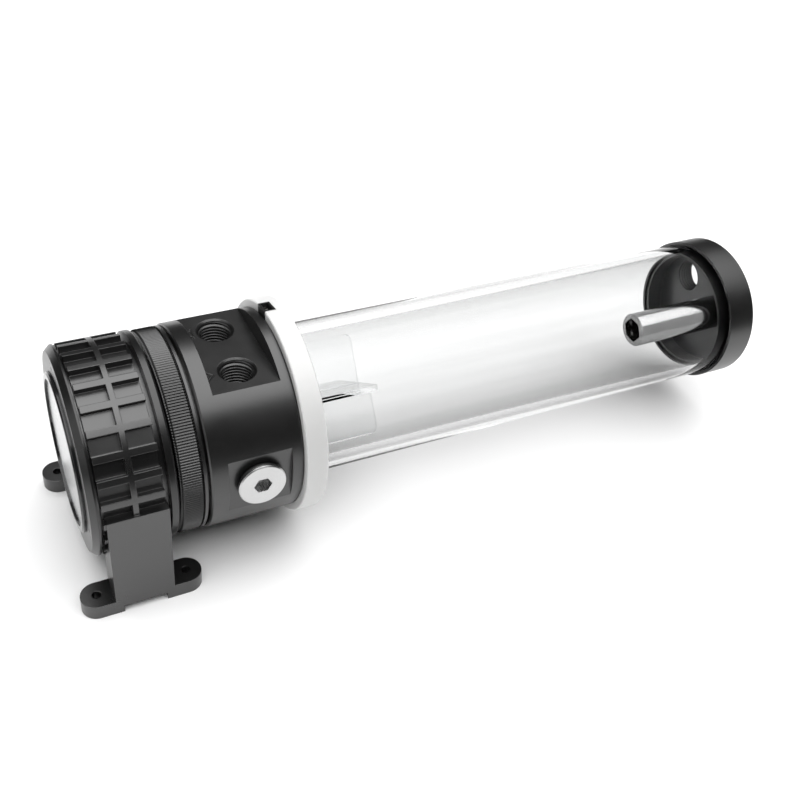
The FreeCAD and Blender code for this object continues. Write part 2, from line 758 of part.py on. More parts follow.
def makeControlBoard():
    """Round circuit board on the can's ledge, with the parts that stand on it."""
    body = newBody("ControlBoard", "control_board")
    edge = canBore - assemblyFit
    turned(body, "Board", [
        (boardStart, 0),
        (boardStart, edge),
        (boardStart + boardThickness, edge),
        (boardStart + boardThickness, 0)])
    # Driver chip and two smoothing cans, on the side towards the coils
    sketch = newSketch(body, "ChipOutline", "YZ_Plane", boardStart + boardThickness)
    chipHalf = driverChipWidth / 2
    drawRectangle(sketch, (-chipHalf, -chipHalf), (chipHalf, chipHalf))
    padded(body, "DriverChip", sketch, boardThickness)
    sketch = newSketch(body, "SmoothingCircles", "YZ_Plane", boardStart + boardThickness)
    for side in (-1, 1):
        drawCircle(sketch, (edge / 2 * side, 0), smoothingCanRadius)
    padded(body, "SmoothingCans", sketch, smoothingCanLength)
    return body


def makeStatorCore():
    """Laminated ring whose teeth come in to the dome of the cup."""
    body = newBody("StatorCore", "stator_core")
    turned(body, "Yoke", [
        (statorStart, yokeBore),
        (statorEnd, yokeBore),
        (statorEnd, canBore - assemblyFit),
        (statorStart, canBore - assemblyFit)])
    sketch = newSketch(body, "ToothOutline", "YZ_Plane", statorStart)
    drawRectangle(sketch, (-toothWidth / 2, toothReach), (toothWidth / 2, yokeBore + statorYoke / 2))
    tooth = padded(body, "FirstTooth", sketch, statorLength)
    repeated(body, "Teeth", [tooth], toothCount)
    # The teeth are ground to the dome, with a small gap
    ball = body.newObject("PartDesign::SubtractiveSphere", "DomeRoom")
    ball.Placement = Placement(Vector(cupMiddle.number, 0, 0), Rotation(Vector(0, 1, 0), 90))
    ball.setExpression("Placement.Base.x", cupMiddle.formula)
    ball.setExpression("Radius", (cupOutside + toothGap).formula)
    doc.recompute()
    return body


def makeStatorCoils():
    """One winding round each tooth."""
    body = newBody("StatorCoils", "stator_coils")
    sketch = newSketch(body, "CoilOutline", "XY_Plane", coilStart)
    innerHalf = toothWidth / 2 + assemblyFit
    outerHalf = innerHalf + coilBuild
    low = statorStart - assemblyFit
    high = statorEnd + assemblyFit
    drawRectangle(sketch, (low - coilBuild, -outerHalf), (high + coilBuild, outerHalf))
    drawRectangle(sketch, (low, -innerHalf), (high, innerHalf))
    coil = padded(body, "FirstCoil", sketch, coilDepth)
    repeated(body, "Coils", [coil], toothCount)
    return body


def makeSeparatorCup():
    """Thin dome that keeps the coolant on the rotor's side."""
    body = newBody("SeparatorCup", "separator_cup")
    edge = canBore - assemblyFit
    turned(body, "Cup", [
        (cupMiddle - cupOutside, 0, "right", cupOutside),
        (cupMiddle, cupOutside),
        (cupMiddle, edge),
        (motorFlangeEnd, edge),
        (motorFlangeEnd, cupRadius),
        (cupMiddle, cupRadius, "left", cupRadius),
        (cupMiddle - cupRadius, 0)])
    return body


def makeBearing():
    """Post from the bottom of the cup, and the ball on its end."""
    post = newBody("BearingPost", "bearing_post")
    seatDepth = ballRadius - root(ballRadius * ballRadius - postRadius * postRadius)
    turned(post, "Post", [
        (cupMiddle - cupRadius, 0),
        (cupMiddle - cupRadius + postFootRise, postRadius),
        (cupMiddle - ballRadius + seatDepth, postRadius, "left", ballRadius),
        (cupMiddle - ballRadius, 0)])
    ball = doc.addObject("Part::Sphere", "BearingBall")
    ball.Label = "bearing_ball"
    ball.setExpression("Radius", ballRadius.formula)
    ball.Placement = Placement(Vector(0, 0, 0), Rotation(Vector(0, 1, 0), 90))
    ball.setExpression("Placement.Base.x", cupMiddle.formula)
    ball.setExpression("Placement.Base.z", axisHeight.formula)
    return [post, ball]


def makeRotorMagnet():
    """Half ball of magnet round the bearing."""
    body = newBody("RotorMagnet", "rotor_magnet")
    radius = cupRadius - rotorGap
    turned(body, "Magnet", [
        (cupMiddle - radius, 0, "right", radius),
        (cupMiddle, radius),
        (cupMiddle, 0)])
    drilled(body, "MagnetHole", "YZ_Plane", cupMiddle, [(0, 0)], rotorHole, radius)
    return body


def makeImpeller():
    """Closed impeller: disc with the ball's seat, curved blades and a cover with its eye."""
    body = newBody("Impeller", "impeller")
    seat = ballRadius + ballFit
    turned(body, "ImpellerDisc", [
        (cupMiddle, seat, "right", seat),
        (cupMiddle + seat, 0),
        (discEnd + impellerDisc * 2, 0),
        (discEnd, impellerNose),
        (discEnd, impellerRadius),
        (discStart, impellerRadius),
        (discStart, impellerHub),
        (cupMiddle, impellerHub)])
    # The blade's two faces are arcs, and its thickness is measured round the hub and the rim
    rootTurn = bladeThickness / bladeRoot * (180 / math.pi)
    tipTurn = bladeThickness / impellerRadius * (180 / math.pi)
    tip = impellerRadius - assemblyFit
    sketch = newSketch(body, "BladeOutline", "YZ_Plane", discEnd - impellerDisc / 2)
    drawOutline(sketch, [
        (along(bladeRoot, 0), across(bladeRoot, 0)),
        (along(bladeRoot, -rootTurn), across(bladeRoot, -rootTurn), "left", bladeCurve),
        (along(tip, bladeSweep - tipTurn), across(tip, bladeSweep - tipTurn)),
        (along(tip, bladeSweep), across(tip, bladeSweep), "right", bladeCurve)])
    blade = padded(body, "FirstBlade", sketch, bladeHeight + impellerDisc / 2)
    repeated(body, "Blades", [blade], bladeCount)
    sketch = newSketch(body, "CoverCircles", "YZ_Plane", bladeEnd)
    drawCircle(sketch, (0, 0), impellerRadius)
    drawCircle(sketch, (0, 0), eyeRadius)
    padded(body, "Cover", sketch, impellerCover)
    return body


def makeRetainingRing():
    """Knurled ring that pulls the motor's flange against the body."""
    body = newBody("RetainingRing", "retaining_ring")
    lip = canRadius + ringLipRoom
    bore = neckRadius + ringFit
    turned(body, "Ring", [
        (ringStart, lip),
        (ringStart, ringRadius - ringBevel),
        (ringStart + ringBevel, ringRadius),
        (ringEnd - ringBevel, ringRadius),
        (ringEnd, ringRadius - ringBevel),
        (ringEnd, bore),
        (ringStart + ringLip, bore),
        (ringStart + ringLip, lip)])
    return body


def makePumpBody():
    """Body with the impeller's chamber, the ports and the neck inside the tube."""
    body = newBody("PumpBody", "pump_body")
    pumpSealHalf = pumpSealSection + sealRoom
    pumpSealFloor = motorFlangeEnd + pumpSealSection * 2 + sealFit * 2
    tubeSealHalf = tubeSealSection + sealRoom
    tubeSealFloor = tubeStart - tubeSealSection * 2 - sealFit * 2
    turned(body, "BodyRound", [
        (neckStart, chamberRadius),
        (neckStart, pumpSealCircle - pumpSealHalf),
        (pumpSealFloor, pumpSealCircle - pumpSealHalf),
        (pumpSealFloor, pumpSealCircle + pumpSealHalf),
        (neckStart, pumpSealCircle + pumpSealHalf),
        (neckStart, neckRadius),
        (collarStart, neckRadius),
        (collarStart, ringRadius),
        (collarEnd, ringRadius),
        (collarEnd, neckRadius),
        (bodyStart, neckRadius),
        (bodyStart, outerRadius - edgeBreak),
        (bodyStart + edgeBreak, outerRadius),
        (bodyEnd - edgeBreak, outerRadius),
        (bodyEnd, outerRadius - edgeBreak),
        (bodyEnd, tubeSealCircle + tubeSealHalf),
        (tubeSealFloor, tubeSealCircle + tubeSealHalf),
        (tubeSealFloor, tubeSealCircle - tubeSealHalf),
        (bodyEnd, tubeSealCircle - tubeSealHalf),
        (bodyEnd, neckOutside),
        (bodyEnd + neckReach, neckOutside),
        (bodyEnd + neckReach, neckBore),
        (bodyEnd, neckBore),
        (bodyEnd, intakeRadius),
        (chamberEnd, intakeRadius),
        (chamberEnd, chamberRadius)])
    # Flats for the two ports on top and the plug at the side
    overrun = outerRadius / 20
    sketch = newSketch(body, "PortFlatOutline", "XY_Plane", outerRadius + overrun)
    flatHalf = portFlatLength / 2
    drawRectangle(sketch, (portPlace - flatHalf, -outerRadius), (portPlace + flatHalf, outerRadius))
    pocketed(body, "PortFlat", sketch, outerRadius + overrun - portFlatHeight)
    sketch = newSketch(body, "PlugFlatOutline", "XZ_Plane", outerRadius + overrun)
    flatHalf = plugFlatLength / 2
    drawRectangle(sketch, (portPlace - flatHalf, -outerRadius / 2), (portPlace + flatHalf, outerRadius / 2))
    pocketed(body, "PlugFlat", sketch, outerRadius + overrun - plugFlatHeight)
    # Outlet port, with its channel from the chamber
    outlet = (portPlace, -portHalfSpacing)
    drilled(body, "OutletPort", "XY_Plane", portFlatHeight, [outlet], portRadius, portDepth)
    drilled(body, "OutletChannel", "YZ_Plane", chamberEnd, [(-portHalfSpacing, outletChannelHeight)],
            channelRadius, portPlace - chamberEnd, True)
    # Return port, with its channel down and then into the tube
    returning = (portPlace, portHalfSpacing)
    returnFloor = returnChannelHeight - channelRadius
    drilled(body, "ReturnPort", "XY_Plane", portFlatHeight, [returning], portRadius, portDepth)
    drilled(body, "ReturnDrop", "XY_Plane", portFlatHeight, [returning], channelRadius,
            portFlatHeight - returnFloor)
    drilled(body, "ReturnChannel", "YZ_Plane", portPlace, [(portHalfSpacing, returnChannelHeight)],
            channelRadius, bodyEnd - portPlace, True)
    # Plug port, with its channel into the tube as well
    side = (portPlace, 0)
    drilled(body, "PlugPort", "XZ_Plane", plugFlatHeight, [side], portRadius, portDepth)
    drilled(body, "PlugDrop", "XZ_Plane", plugFlatHeight, [side], channelRadius,
            plugFlatHeight - sideChannelHeight + channelRadius)
    last = drilled(body, "PlugChannel", "YZ_Plane", portPlace, [(-sideChannelHeight, 0)],
                   channelRadius, bodyEnd - portPlace, True)
    mouths = [((portPlace, portHalfSpacing * end, portFlatHeight), portRadius) for end in (-1, 1)]
    mouths.append(((portPlace, -plugFlatHeight, 0), portRadius))
    softened(body, "Chamfer", "PortMouths", last, mouths, portMouth)
    return body


def makeSidePlug():
    """Plug with a hexagon socket, drawn outward from the flat that it closes."""
    body = newBody("SidePlug", "side_plug")
    body.Placement = Placement(Vector(0, 0, 0), Rotation(Vector(0, 0, 1), -90))
    body.setExpression("Placement.Base.x", portPlace.formula)
    body.setExpression("Placement.Base.y", (-plugFlatHeight).formula)
    face = plugRise + plugHeadThickness
    turned(body, "PlugRound", [
        (-plugThreadLength, 0),
        (-plugThreadLength, plugThreadRadius - edgeBreak),
        (edgeBreak - plugThreadLength, plugThreadRadius),
        (plugRise, plugThreadRadius),
        (plugRise, plugHeadRadius),
        (face - plugBevel, plugHeadRadius),
        (face, plugHeadRadius - plugBevel),
        (face, 0)])
    sketch = newSketch(body, "PlugKeyOutline", "YZ_Plane", face)
    drawHexagon(sketch, plugKeyWidth)
    pocketed(body, "PlugKey", sketch, plugKeyDepth)
    return body


def makePlugSeal():
    seal = doc.addObject("Part::Torus", "PlugSeal")
    seal.Label = "plug_o_ring"
    seal.setExpression("Radius1", plugSealCircle.formula)
    seal.setExpression("Radius2", plugSealSection.formula)
    seal.Placement = Placement(Vector(0, 0, 0), Rotation(Vector(1, 0, 0), 90))
    seal.setExpression("Placement.Base.x", portPlace.formula)
    seal.setExpression("Placement.Base.y", (-plugFlatHeight - plugRise / 2).formula)
    seal.setExpression("Placement.Base.z", axisHeight.formula)
    return seal


def tilted(radial, sideways):
    """A place in the socket's tilted frame, as (y, z)."""
    y = across(radial, socketTilt) + along(sideways, socketTilt)
    z = along(radial, socketTilt) - across(sideways, socketTilt)
    return (y, z)


def drawTilted(sketch, low, high, halfWidth, middle=0):
    """A rectangle that stands radially at the socket's place."""
    left = middle - halfWidth
    right = middle + halfWidth
    drawOutline(sketch, [tilted(low, left), tilted(low, right), tilted(high, right), tilted(high, left)])


def makeLightRing():
    """Diffuser with a channel for the board and a notch for the socket."""
    body = newBody("LightRing", "light_ring")
    channelEnd = bodyEnd + lightChannelDepth
    turned(body, "Diffuser", [
        (bodyEnd, lightRingBore),
        (lightRingEnd, lightRingBore),
        (lightRingEnd, lightRingRadius - lightRingEdge),
        (lightRingEnd - lightRingEdge, lightRingRadius),
        (bodyEnd + lightRingEdge, lightRingRadius),
        (bodyEnd, lightRingRadius - lightRingEdge),
        (bodyEnd, lightChannelOuter),
        (channelEnd, lightChannelOuter),
        (channelEnd, lightChannelInner),
        (bodyEnd, lightChannelInner)])
    sketch = newSketch(body, "NotchOutline", "YZ_Plane", bodyEnd)
    halfWidth = socketWidth / 2 + assemblyFit
    drawTilted(sketch, lightChannelOuter - lightBoardRoom, lightRingRadius + socketWall, halfWidth)
    pocketed(body, "SocketNotch", sketch, socketLength + assemblyFit, True)
    return body


def makeLightBoard():
    body = newBody("LightBoard", "led_board")
    inner = lightChannelInner + lightBoardRoom
    outer = lightChannelOuter - lightBoardRoom * 2
    turned(body, "LightBoardRing", [
        (bodyEnd, inner),
        (bodyEnd, outer),
        (bodyEnd + lightBoardThickness, outer),
        (bodyEnd + lightBoardThickness, inner)])
    chips = newBody("LightChips", "led_chips")
    middle = (inner + outer) / 2
    sketch = newSketch(chips, "ChipSquare", "YZ_Plane", bodyEnd + lightBoardThickness)
    half = chipWidth / 2
    drawRectangle(sketch, (-half, middle - half), (half, middle + half))
    chip = padded(chips, "FirstChip", sketch, chipRise)
    repeated(chips, "ChipRow", [chip], chipCount)
    return [body, chips]


def makeConnector():
    """Three-pin socket in the light ring's notch, open outward."""
    body = newBody("LightConnector", "led_connector")
    low = lightChannelOuter - lightBoardRoom
    top = root(lightRingRadius * lightRingRadius - socketWidth * socketWidth / 4)
    sketch = newSketch(body, "SocketOutline", "YZ_Plane", bodyEnd)
    drawTilted(sketch, low, top, socketWidth / 2)
    padded(body, "SocketBlock", sketch, socketLength)
    sketch = newSketch(body, "SocketRoom", "YZ_Plane", bodyEnd + socketWall)
    drawTilted(sketch, low + socketFloor, top + socketWall, socketWidth / 2 - socketWall)
    pocketed(body, "SocketHollow", sketch, socketLength - socketWall * 2, True)
    pins = newBody("ConnectorPins", "connector_pins")
    sketch = newSketch(pins, "PinOutlines", "YZ_Plane", bodyEnd + socketLength / 2 - pinWidth / 2)
    for index in range(int(pinCount.number)):
        middle = pinPitch * (asSize(index) - (pinCount - 1) / 2)
        drawTilted(sketch, low + socketFloor, low + socketFloor + pinRise, pinWidth / 2, middle)
    padded(pins, "Pins", sketch, pinWidth)
    return [body, pins]


def makeReservoirTube():
    body = newBody("ReservoirTube", "reservoir_tube")
    turned(body, "Tube", [
        (tubeStart, tubeBore),
        (tubeEnd, tubeBore),
        (tubeEnd, tubeRadius),
        (tubeStart, tubeRadius)])
    return body


def makeSwirlPlates():
    """Two clear plates, slotted into each other, that stop the coolant from swirling."""
    reach = neckBore - plateRoom
    farEnd = bodyEnd + plateLength
    tabEnd = farEnd + plateTab
    slotEnd = bodyEnd + plateLength / 2
    slotHalf = plateThickness / 2 + plateFit
    longPlate = newBody("SwirlPlateLong", "swirl_plate_long")
    longPlate.Placement = Placement(Vector(0, 0, 0), Rotation(Vector(-1, 0, 0), plateTurn.number))
    longPlate.setExpression("Placement.Rotation.Angle", plateTurn.formula)
    sketch = newSketch(longPlate, "LongOutline", "XZ_Plane")
    drawOutline(sketch, [
        (bodyEnd, -reach),
        (tabEnd - plateCorner, -reach, "left", plateCorner),
        (tabEnd, plateCorner - reach),
        (tabEnd, -plateTab),
        (farEnd, -plateTab),
        (farEnd, reach - plateCorner, "left", plateCorner),
        (farEnd - plateCorner, reach),
        (bodyEnd, reach),
        (bodyEnd, slotHalf),
        (slotEnd + plateFit, slotHalf),
        (slotEnd + plateFit, -slotHalf),
        (bodyEnd, -slotHalf)])
    padded(longPlate, "LongPlate", sketch, plateThickness, bothWays=True)
    shortPlate = newBody("SwirlPlateShort", "swirl_plate_short")
    quarterLess = 90 - plateTurn
    shortPlate.Placement = Placement(Vector(0, 0, 0), Rotation(Vector(1, 0, 0), quarterLess.number))
    shortPlate.setExpression("Placement.Rotation.Angle", quarterLess.formula)
    sketch = newSketch(shortPlate, "ShortOutline", "XZ_Plane")
    drawOutline(sketch, [
        (bodyEnd, -reach),
        (farEnd - plateCorner, -reach, "left", plateCorner),
        (farEnd, plateCorner - reach),
        (farEnd, -slotHalf),
        (slotEnd - plateFit, -slotHalf),
        (slotEnd - plateFit, slotHalf),
        (farEnd, slotHalf),
        (farEnd, reach - plateCorner, "left", plateCorner),
        (farEnd - plateCorner, reach),
        (bodyEnd, reach)])
    padded(shortPlate, "ShortPlate", sketch, plateThickness, bothWays=True)
    return [longPlate, shortPlate]


def makeEndCap():
    """Cap with a slot for the tube's end and two threaded holes through it."""
    body = newBody("EndCap", "end_cap")
    turned(body, "CapRound", [
        (capInside, 0),
        (capInside, skirtBore),
        (capStart - skirtReach, skirtBore),
        (capStart - skirtReach, skirtOutside),
        (capSlotEnd, skirtOutside),
        (capSlotEnd, lipBore),
        (capStart, lipBore),
        (capStart, capRadius),
        (capEnd - edgeBreak, capRadius),
        (capEnd, capRadius - edgeBreak),
        (capEnd, 0)])
    holes = drilled(body, "CapPorts", "YZ_Plane", capInside, [openPort, dropPort], portRadius, capWall, True)
    mouths = []
    for place in (openPort, dropPort):
        mouths.append(((capEnd, place[0], place[1]), portRadius))
    softened(body, "Chamfer", "CapMouths", holes, mouths, portMouth)
    return body


def makeDropTube():
    """Metal tube screwed into the cap from inside, with a hexagon in its free end."""
    body = newBody("DropTube", "drop_tube")
    start = capInside - dropTubeLength
    sketch = newSketch(body, "DropCircle", "YZ_Plane", start)
    drawCircle(sketch, dropPort, dropTubeRadius)
    tube = padded(body, "DropRound", sketch, dropTubeLength)
    rims = [((start, dropPort[0], dropPort[1]), dropTubeRadius)]
    softened(body, "Chamfer", "DropRim", tube, rims, dropBevel)
    sketch = newSketch(body, "SpigotCircle", "YZ_Plane", capInside)
    drawCircle(sketch, dropPort, portRadius - ringFit)
    padded(body, "DropThread", sketch, dropSpigot)
    drilled(body, "DropBore", "YZ_Plane", start, [dropPort], dropTubeBore, dropTubeLength + dropSpigot, True)
    sketch = newSketch(body, "DropKeyOutline", "YZ_Plane", start)
    drawHexagon(sketch, dropKeyWidth, dropPort)
    pocketed(body, "DropKey", sketch, dropKeyDepth, True)
    return body


pieces = [makeHolder(), makeFrontFlange(), makeRearFlange(), makeFlangeScrews(), makeGrommet()]
pieces += [makeMotorCan(), makeEndDisc(), makeControlBoard(), makeStatorCore(), makeStatorCoils()]
pieces += [makeSeparatorCup()] + makeBearing() + [makeRotorMagnet(), makeImpeller()]
pieces += [makeRetainingRing(), makePumpBody(), makeSidePlug(), makePlugSeal()]
pieces += [makeLightRing()] + makeLightBoard() + makeConnector()
pieces += [makeReservoirTube()] + makeSwirlPlates() + [makeEndCap(), makeDropTube()]
pumpSealMiddle = motorFlangeEnd + pumpSealSection + sealFit
pieces.append(sealRing("PumpSeal", "pump_o_ring", pumpSealMiddle, pumpSealCircle, pumpSealSection))
tubeSealMiddle = tubeStart - tubeSealSection - sealFit
pieces.append(sealRing("TubeSeal", "tube_o_ring", tubeSealMiddle, tubeSealCircle, tubeSealSection))
capSealMiddle = tubeEnd + capSealSection + sealFit
pieces.append(sealRing("CapSeal", "cap_o_ring", capSealMiddle, tubeSealCircle, capSealSection))
doc.recompute()

# Nothing is written unless every object is sound
for item in doc.Objects:
    if "Invalid" in item.State or "Error" in item.State:
        raise RuntimeError("%s is in state %s" % (item.Name, item.State))
for piece in pieces:
    if piece.Shape.isNull() or not piece.Shape.isValid() or not piece.Shape.Solids:
        raise RuntimeError("%s has no sound solid" % piece.Label)

os.makedirs("parts", exist_ok=True)
for piece in pieces:
    piece.Shape.exportStep("parts/%s.step" % piece.Label)
    box = piece.Shape.BoundBox
    print("%-20s solids %2d  x %7.2f %7.2f  y %6.2f %6.2f  z %6.2f %6.2f" % (
        piece.Label, len(piece.Shape.Solids), box.XMin, box.XMax, box.YMin, box.YMax, box.ZMin, box.ZMax))
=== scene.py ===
import json
import math
import bmesh
import bpy
from mathutils import Matrix, Vector


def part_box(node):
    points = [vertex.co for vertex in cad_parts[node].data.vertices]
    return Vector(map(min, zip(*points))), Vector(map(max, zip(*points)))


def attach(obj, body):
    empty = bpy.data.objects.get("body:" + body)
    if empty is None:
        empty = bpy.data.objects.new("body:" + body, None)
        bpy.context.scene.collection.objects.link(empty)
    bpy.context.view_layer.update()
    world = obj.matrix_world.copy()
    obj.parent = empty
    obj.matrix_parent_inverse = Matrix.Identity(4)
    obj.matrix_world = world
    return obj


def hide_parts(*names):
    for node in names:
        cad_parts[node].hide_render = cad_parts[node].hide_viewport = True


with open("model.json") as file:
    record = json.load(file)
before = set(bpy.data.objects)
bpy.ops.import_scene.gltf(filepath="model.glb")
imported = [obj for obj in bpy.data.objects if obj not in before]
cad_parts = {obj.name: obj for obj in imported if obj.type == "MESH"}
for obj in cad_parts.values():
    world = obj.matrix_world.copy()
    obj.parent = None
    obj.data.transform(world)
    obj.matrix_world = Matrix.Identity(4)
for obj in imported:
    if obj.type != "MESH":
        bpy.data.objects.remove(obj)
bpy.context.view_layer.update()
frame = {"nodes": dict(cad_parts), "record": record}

mm = 0.001
nodes = frame["nodes"]
scene = bpy.context.scene

# Camera, worked out from the photograph: place in metres, its own axes, and the lens in pixels
cameraLook = {
    "place": (-0.04665, -0.27979, 0.30573),
    "right": (0.90625, -0.41565, 0.07715),
    "down": (-0.2134, -0.60732, -0.76526),
    "forward": (0.36493, 0.67705, -0.63909),
    "focalPixels": 1005.64,
    "centrePixels": (364.08, 393.71),
    "imagePixels": 800.0,
    "sensorWidth": 36.0,
    "clip": (0.01, 20.0),
}


def makeCamera(look):
    data = bpy.data.cameras.new("camera")
    data.sensor_width = look["sensorWidth"]
    data.lens = look["focalPixels"] / look["imagePixels"] * look["sensorWidth"]
    half = look["imagePixels"] / 2
    data.shift_x = (half - look["centrePixels"][0]) / look["imagePixels"]
    data.shift_y = (look["centrePixels"][1] - half) / look["imagePixels"]
    data.clip_start, data.clip_end = look["clip"]
    camera = bpy.data.objects.new("camera", data)
    scene.collection.objects.link(camera)
    columns = [Vector(look["right"]), -Vector(look["down"]), -Vector(look["forward"])]
    turn = Matrix([[column[row] for column in columns] for row in range(3)]).to_4x4()
    camera.matrix_world = Matrix.Translation(Vector(look["place"])) @ turn
    scene.camera = camera


makeCamera(cameraLook)
print("camera ready")

# Light: a wide soft box overhead and a weak panel at the left, over a pale table top
stageLook = {
    "floorCorners": ((-0.30, -0.23), (0.95, 0.95)),
    "floorColor": (0.92, 0.92, 0.92, 1.0),
    "floorRoughness": 0.9,
    "floorSpecular": 0.1,
    "roomColor": (1.0, 1.0, 1.0, 1.0),
    "roomStrength": 0.05,
    "backdropStrength": 1.0,
    "lamps": [
        # name, place, aimed at, size across and along, watts
        ("overheadBox", (0.50, -0.15, 2.4), (0.50, -0.15, 0.0), (3.6, 3.8), 148.0),
        ("leftPanel", (-1.45, -0.35, 0.70), (0.0, 0.0, 0.05), (1.7, 1.35), 7.0),
    ],
}


def largerOf(tree, first, second):
    node = tree.nodes.new("ShaderNodeMath")
    node.operation = "MAXIMUM"
    tree.links.new(first, node.inputs[0])
    tree.links.new(second, node.inputs[1])
    return node.outputs[0]


def makeFloor(look):
    (left, front), (right, back) = look["floorCorners"]
    mesh = bpy.data.meshes.new("floor")
    corners = [(left, front, 0), (right, front, 0), (right, back, 0), (left, back, 0)]
    mesh.from_pydata(corners, [], [(0, 1, 2, 3)])
    floor = bpy.data.objects.new("floor", mesh)
    scene.collection.objects.link(floor)
    material = bpy.data.materials.new("floorPaper")
    material.use_nodes = True
    paper = material.node_tree.nodes["Principled BSDF"]
    paper.inputs["Base Color"].default_value = look["floorColor"]
    paper.inputs["Roughness"].default_value = look["floorRoughness"]
    paper.inputs["Specular IOR Level"].default_value = look["floorSpecular"]
    mesh.materials.append(material)


# The backdrop is pale where it is seen, straight or through clear pieces, and dark in reflections
def makeRoom(look):
    world = bpy.data.worlds.new("room")
    world.use_nodes = True
    tree = world.node_tree
    dark = tree.nodes["Background"]
    pale = tree.nodes.new("ShaderNodeBackground")
    for background, strength in ((dark, look["roomStrength"]), (pale, look["backdropStrength"])):
        background.inputs["Color"].default_value = look["roomColor"]
        background.inputs["Strength"].default_value = strength
    path = tree.nodes.new("ShaderNodeLightPath")
    mix = tree.nodes.new("ShaderNodeMixShader")
    seen = largerOf(tree, path.outputs["Is Camera Ray"], path.outputs["Is Transmission Ray"])
    tree.links.new(seen, mix.inputs["Fac"])
    tree.links.new(dark.outputs["Background"], mix.inputs[1])
    tree.links.new(pale.outputs["Background"], mix.inputs[2])
    tree.links.new(mix.outputs["Shader"], tree.nodes["World Output"].inputs["Surface"])
    scene.world = world


def makeLamps(look):
    for name, place, target, size, watts in look["lamps"]:
        data = bpy.data.lights.new(name, "AREA")
        data.shape = "RECTANGLE"
        data.size, data.size_y = size
        data.energy = watts
        lamp = bpy.data.objects.new(name, data)
        lamp.location = place
        lamp.rotation_euler = (Vector(target) - Vector(place)).to_track_quat("-Z", "Y").to_euler()
        scene.collection.objects.link(lamp)


makeFloor(stageLook)
makeRoom(stageLook)
makeLamps(stageLook)
scene.view_settings.view_transform = "Standard"
print("stage ready")


# Shared effects, as node groups
def startGroup(name, inputs, outputs):
    tree = bpy.data.node_groups.new(name, "ShaderNodeTree")
    for label, kind, value in inputs:
        socket = tree.interface.new_socket(label, in_out="INPUT", socket_type=kind)
        socket.default_value = value
    for label, kind in outputs:
        tree.interface.new_socket(label, in_out="OUTPUT", socket_type=kind)
    return tree, tree.nodes.new("NodeGroupInput"), tree.nodes.new("NodeGroupOutput")


def vectorStep(tree, operation, first, second=None):
    node = tree.nodes.new("ShaderNodeVectorMath")
    node.operation = operation
    tree.links.new(first, node.inputs[0])
    if second:
        tree.links.new(second, node.inputs[1])
    return node


def noiseOf(tree, place, detail):
    noise = tree.nodes.new("ShaderNodeTexNoise")
    noise.inputs["Detail"].default_value = detail
    tree.links.new(place, noise.inputs["Vector"])
    return noise


# Fine moulded grain, and a slow uneven mask for tone and gloss
grainLook = {"grainPerMetre": 3500.0, "grainDetail": 3.0,
             "patchPerMetre": 35.0, "patchDetail": 4.0, "patchRoughness": 0.6}


def makeGrainGroup(look):
    tree, given, result = startGroup("mouldedGrain", [
        ("GrainPerMetre", "NodeSocketFloat", look["grainPerMetre"]),
        ("PatchPerMetre", "NodeSocketFloat", look["patchPerMetre"])], [
        ("Height", "NodeSocketFloat"),
        ("Patch", "NodeSocketFloat")])
    place = tree.nodes.new("ShaderNodeTexCoord").outputs["Object"]
    fine = noiseOf(tree, place, look["grainDetail"])
    tree.links.new(given.outputs["GrainPerMetre"], fine.inputs["Scale"])
    slow = noiseOf(tree, place, look["patchDetail"])
    slow.inputs["Roughness"].default_value = look["patchRoughness"]
    tree.links.new(given.outputs["PatchPerMetre"], slow.inputs["Scale"])
    tree.links.new(fine.outputs["Fac"], result.inputs["Height"])
    tree.links.new(slow.outputs["Fac"], result.inputs["Patch"])
    return tree


# Fine tool marks in rings about an axis through a given place
turnedLook = {"centre": (0.0, 0.0, 0.0), "across": (1.0, 0.0, 1.0), "marksPerMetre": 9000.0, "detail": 4.0}


def makeTurnedGroup(look):
    tree, given, result = startGroup("turnedMarks", [
        ("Centre", "NodeSocketVector", look["centre"]),
        ("Across", "NodeSocketVector", look["across"]),
        ("MarksPerMetre", "NodeSocketFloat", look["marksPerMetre"])], [
        ("Height", "NodeSocketFloat")])
    place = tree.nodes.new("ShaderNodeTexCoord").outputs["Object"]
    shift = vectorStep(tree, "SUBTRACT", place, given.outputs["Centre"])
    flat = vectorStep(tree, "MULTIPLY", shift.outputs[0], given.outputs["Across"])
    length = vectorStep(tree, "LENGTH", flat.outputs[0])
    marks = tree.nodes.new("ShaderNodeTexNoise")
    marks.noise_dimensions = "1D"
    marks.inputs["Detail"].default_value = look["detail"]
    tree.links.new(length.outputs["Value"], marks.inputs["W"])
    tree.links.new(given.outputs["MarksPerMetre"], marks.inputs["Scale"])
    tree.links.new(marks.outputs["Fac"], result.inputs["Height"])
    return tree


# Long faint lighter and darker streaks of tint along the part's length
streakLook = {"perMetre": (3.0, 130.0, 130.0), "detail": 3.0}


def makeStreakGroup(look):
    tree, given, result = startGroup("lengthwiseStreaks", [
        ("PerMetre", "NodeSocketVector", look["perMetre"])], [
        ("Streak", "NodeSocketFloat")])
    place = tree.nodes.new("ShaderNodeTexCoord").outputs["Object"]
    stretched = vectorStep(tree, "MULTIPLY", place, given.outputs["PerMetre"])
    noise = noiseOf(tree, stretched.outputs[0], look["detail"])
    noise.inputs["Scale"].default_value = 1.0
    tree.links.new(noise.outputs["Fac"], result.inputs["Streak"])
    return tree


grainGroup = makeGrainGroup(grainLook)
turnedGroup = makeTurnedGroup(turnedLook)
streakGroup = makeStreakGroup(streakLook)
print("shared effects ready")


def startMaterial(name):
    material = bpy.data.materials.new(name)
    material.use_nodes = True
    tree = material.node_tree
    return material, tree, tree.nodes["Principled BSDF"]


